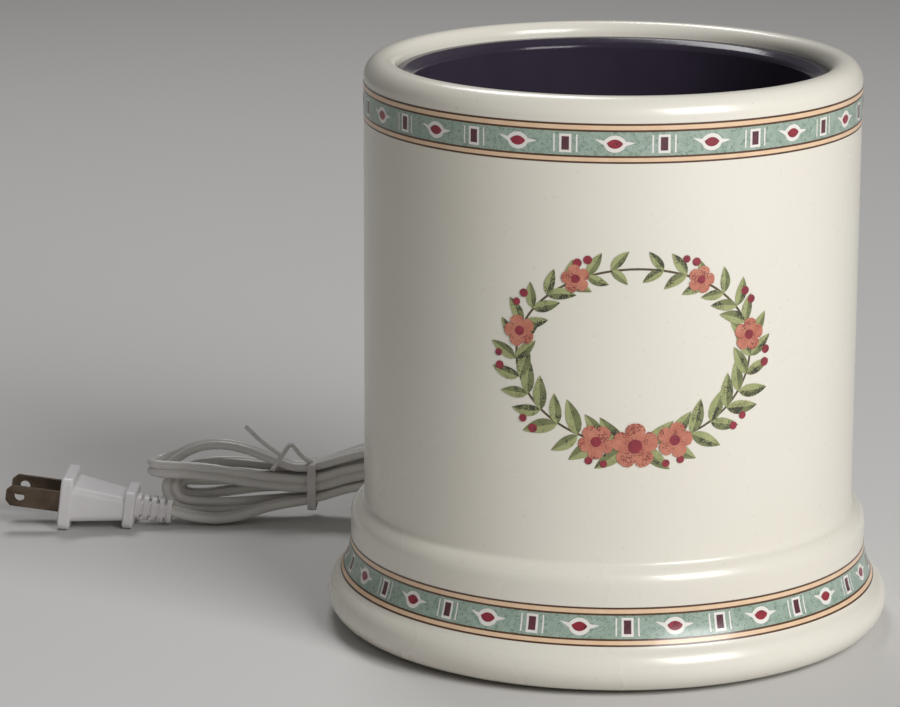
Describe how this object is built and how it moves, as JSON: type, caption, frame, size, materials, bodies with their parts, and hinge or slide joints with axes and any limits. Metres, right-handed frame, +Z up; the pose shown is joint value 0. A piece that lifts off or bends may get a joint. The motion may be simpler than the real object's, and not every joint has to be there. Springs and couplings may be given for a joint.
{
  "type": "electric candle warmer",
  "caption": "Round stoneware crock that warms a jar candle in a heated metal well, with a cove foot, decorated bands and a flat two-wire lead tied in a hank.",
  "frame": {"origin": "on the table, under the crock's axis, at the bottom of its rubber feet", "axes": "+Z up along the crock's axis, -Y to the decorated front, +Y to the cord entry at the rear"},
  "size_m": [0.2586, 0.2092, 0.1629],
  "materials": {
    "glaze": "satin glaze",
    "well_enamel": "glossy dark navy enamel",
    "silicone": "matt",
    "heater_silicone": "matt",
    "steel": "satin",
    "glass_felt": "matt felt",
    "shield_sheet": "satin",
    "fuse_sleeve": "woven glass sleeve",
    "cover_paint": "matt",
    "foot_rubber": "matt",
    "white_pvc": "satin",
    "live_wire": "matt",
    "neutral_wire": "matt",
    "splice_nylon": "matt",
    "tie_paper": "satin",
    "blade_brass": "nickel-worn brass"
  },
  "bodies": {
    "root": {"outer_shell": "glaze", "heat_well": "well_enamel", "well_gasket": "silicone", "heater_band": "heater_silicone", "band_strap": "steel", "strap_screw": "steel", "strap_nut": "steel", "insulation_sleeve": "glass_felt", "well_stud": "steel", "stud_spacer": "steel", "heat_shield": "shield_sheet", "stud_nuts": "steel", "lock_washer": "steel", "thermal_fuse": "fuse_sleeve", "fuse_clip": "steel", "base_cover": "cover_paint", "rubber_feet": "foot_rubber", "strain_relief": "white_pvc", "live_lead": "live_wire", "neutral_lead": "neutral_wire", "wire_splices": "splice_nylon", "fuse_lead": "live_wire", "heater_leads": "neutral_wire", "cord_lead": "white_pvc", "cord_hank": "white_pvc", "cord_tail": "white_pvc", "twist_tie": "tie_paper", "plug_body": "white_pvc", "plug_blades": "blade_brass"}
  },
  "joints": []
}
